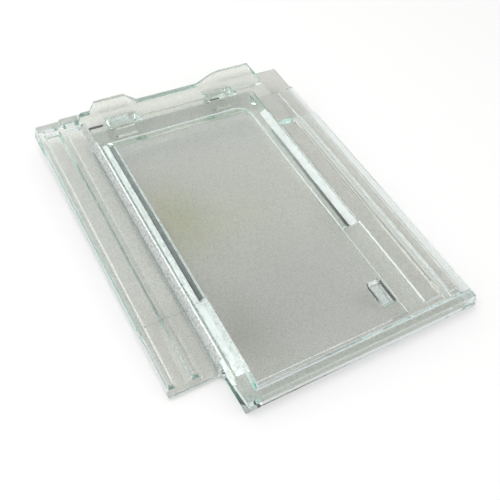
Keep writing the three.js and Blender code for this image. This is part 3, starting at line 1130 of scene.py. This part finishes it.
@dataclass(frozen=True)
class PressedGlass(Glass):
    """Clear pressed glass, faintly aqua in depth, with the grain that the mould left, and the
    painted shade of the underside in its colour.
    """

    depth_colour: tuple[float, float, float, float] = (0.20, 0.80, 0.66, 1.0)
    depth_density: float = 3.2
    grain: Grain = Grain(640.0, 3.0, 0.25, 0.75, 0.76, 1.24)
    pebble: Grain = Grain(330.0, 2.0)

    def material(self, group: Tree) -> bpy.types.Material:
        """Makes the finish around the shared grain group; the floor's own light is untinted."""
        made, shader = self.blank("pressed_glass")
        tree = made.node_tree
        nodes, link = tree.nodes, tree.links.new
        depth = nodes.new("ShaderNodeVolumeAbsorption")
        depth.inputs["Color"].default_value = self.depth_colour
        depth.inputs["Density"].default_value = self.depth_density
        link(depth.outputs["Volume"], nodes["Material Output"].inputs["Volume"])
        # Base colour: the painted shade tone times the grain.
        flecked = self.mix(tree, self.attribute(tree, TONE).outputs["Color"], "MULTIPLY")
        link(self.grain.node(tree, group).outputs["Fleck"], flecked.inputs["B"])
        colour = self.mix(tree, flecked.outputs["Result"])
        colour.inputs["B"].default_value = (1.0, 1.0, 1.0, 1.0)
        link(nodes.new("ShaderNodeLightPath").outputs["Is Diffuse Ray"], colour.inputs["Factor"])
        link(colour.outputs["Result"], shader.inputs["Base Color"])
        pebble = self.pebble.node(tree, group).outputs["Height"]
        link(self.bump(tree, pebble), shader.inputs["Normal"])
        return made


@dataclass(frozen=True)
class PebbledGlassWithPaintedLight(Glass):
    """The same glass where the mould left it pebbled along the bars, with painted light and shade
    in its colour and a painted glow.
    """

    clear_share: float = 0.35
    roughness: float = 0.45
    grain_depth: float = 0.00025
    grain: Grain = Grain(420.0, 3.0, 0.36, 0.56, 0.6, 1.0)
    tint: tuple[float, float, float, float] = (0.955, 1.0, 0.975, 1.0)

    def material(self, group: Tree) -> bpy.types.Material:
        """Makes the finish around the shared grain group.

        A light value up to 1 is the colour, painted shade where it is low, and the rest is a faint
        painted glow, for the light that the bars gather.
        """
        made, shader = self.blank("pebbled_glass_painted_light")
        tree = made.node_tree
        link = tree.links.new
        grain = self.grain.node(tree, group)
        fleck = grain.outputs["Fleck"]
        mark = self.attribute(tree, MARK).outputs["Fac"]
        # Painted light and shade as colour, painted glow as emission.
        colour = self.mix(tree, self.part(tree, mark, 0.0, fleck), "MULTIPLY")
        colour.inputs["B"].default_value = self.tint
        link(colour.outputs["Result"], shader.inputs["Base Color"])
        link(self.part(tree, mark, 1.0, fleck), shader.inputs["Emission Color"])
        shader.inputs["Emission Strength"].default_value = 1.0
        link(self.bump(tree, grain.outputs["Height"]), shader.inputs["Normal"])
        return made


@dataclass(frozen=True)
class PaleFloor:
    """The plain pale floor that the tile lies on."""

    side: float = 6.0
    lift: float = 0.0062
    slope: float = 0.0383
    colour: tuple[float, float, float, float] = (0.93, 0.93, 0.925, 1.0)
    roughness: float = 0.9
    sheen: float = 0.1

    def build(self) -> None:
        """Makes the floor and gives it its finish."""
        half = self.side / 2
        mesh = bpy.data.meshes.new("floor")
        corners = [(-half, -half, 0), (half, -half, 0), (half, half, 0), (-half, half, 0)]
        mesh.from_pydata(corners, [], [(0, 1, 2, 3)])
        floor = bpy.data.objects.new("floor", mesh)
        floor.location.z = self.lift
        floor.rotation_euler.x = -self.slope
        bpy.context.scene.collection.objects.link(floor)
        made = bpy.data.materials.new("pale_floor")
        made.use_nodes = True
        shader = made.node_tree.nodes["Principled BSDF"]
        shader.inputs["Base Color"].default_value = self.colour
        shader.inputs["Roughness"].default_value = self.roughness
        shader.inputs["Specular IOR Level"].default_value = self.sheen
        mesh.materials.append(made)


# ---- Studio ----


@dataclass(frozen=True)
class Studio:
    """Camera and plain soft light."""

    place: tuple[float, float, float] = (-0.28999, -0.42195, 0.58258)
    turn: tuple[float, float, float] = (0.673048, -0.106233, -0.509085)
    lens: float = 47.91
    sensor: float = 36.0
    near: float = 0.01
    far: float = 50.0
    sky_tones: Points = ((0.0, 0.85), (0.25, 0.9), (0.55, 0.85), (1.0, 0.75))
    key_power: float = 16.0
    key_size: float = 1.6
    key_place: tuple[float, float, float] = (-0.6, 0.2, 2.0)
    key_turn: tuple[float, float, float] = (0.0, math.radians(-16), 0.0)
    light_turns: int = 24

    def camera(self) -> None:
        """Makes the camera and sets it as the scene's."""
        data = bpy.data.cameras.new("camera")
        data.lens = self.lens
        data.sensor_width = self.sensor
        data.clip_start, data.clip_end = self.near, self.far
        camera = bpy.data.objects.new("camera", data)
        camera.location = self.place
        camera.rotation_euler = self.turn
        bpy.context.scene.collection.objects.link(camera)
        bpy.context.scene.camera = camera

    def sky(self) -> bpy.types.World:
        """Makes the sky: a soft white that changes a little from low to high."""
        world = bpy.data.worlds.new("studio")
        world.use_nodes = True
        nodes, link = world.node_tree.nodes, world.node_tree.links.new
        split = nodes.new("ShaderNodeSeparateXYZ")
        ramp = nodes.new("ShaderNodeValToRGB")
        link(nodes.new("ShaderNodeTexCoord").outputs["Generated"], split.inputs["Vector"])
        link(split.outputs["Z"], ramp.inputs["Fac"])
        link(ramp.outputs["Color"], nodes["Background"].inputs["Color"])
        stops = ramp.color_ramp.elements
        while len(stops) < len(self.sky_tones):
            stops.new(1.0)
        for stop, (height, tone) in zip(stops, self.sky_tones):
            stop.position = height
            stop.color = (tone, tone, tone, 1.0)
        return world

    def lights(self) -> None:
        """Sets the sky and makes one large soft lamp, above and behind the tile."""
        scene = bpy.context.scene
        scene.view_settings.view_transform = "Standard"
        scene.cycles.max_bounces = self.light_turns
        scene.cycles.glossy_bounces = self.light_turns
        scene.cycles.transmission_bounces = self.light_turns
        scene.world = self.sky()
        data = bpy.data.lights.new("soft_key", "AREA")
        data.energy, data.size = self.key_power, self.key_size
        lamp = bpy.data.objects.new("soft_key", data)
        lamp.location, lamp.rotation_euler = self.key_place, self.key_turn
        scene.collection.objects.link(lamp)


def main() -> None:
    """Builds the studio and the tile."""
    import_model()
    studio = Studio()
    studio.camera()
    studio.lights()
    PaleFloor().build()
    tile = RoofTile().build()
    group = grain_group()
    tile.data.materials.append(PressedGlass().material(group))
    tile.data.materials.append(PebbledGlassWithPaintedLight().material(group))
    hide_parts(NODE)
    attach(tile, BODY)
    log.info("roof_tile rides on %s", BODY)


if __name__ == "__main__":
    logging.basicConfig(level=logging.INFO)
    main()
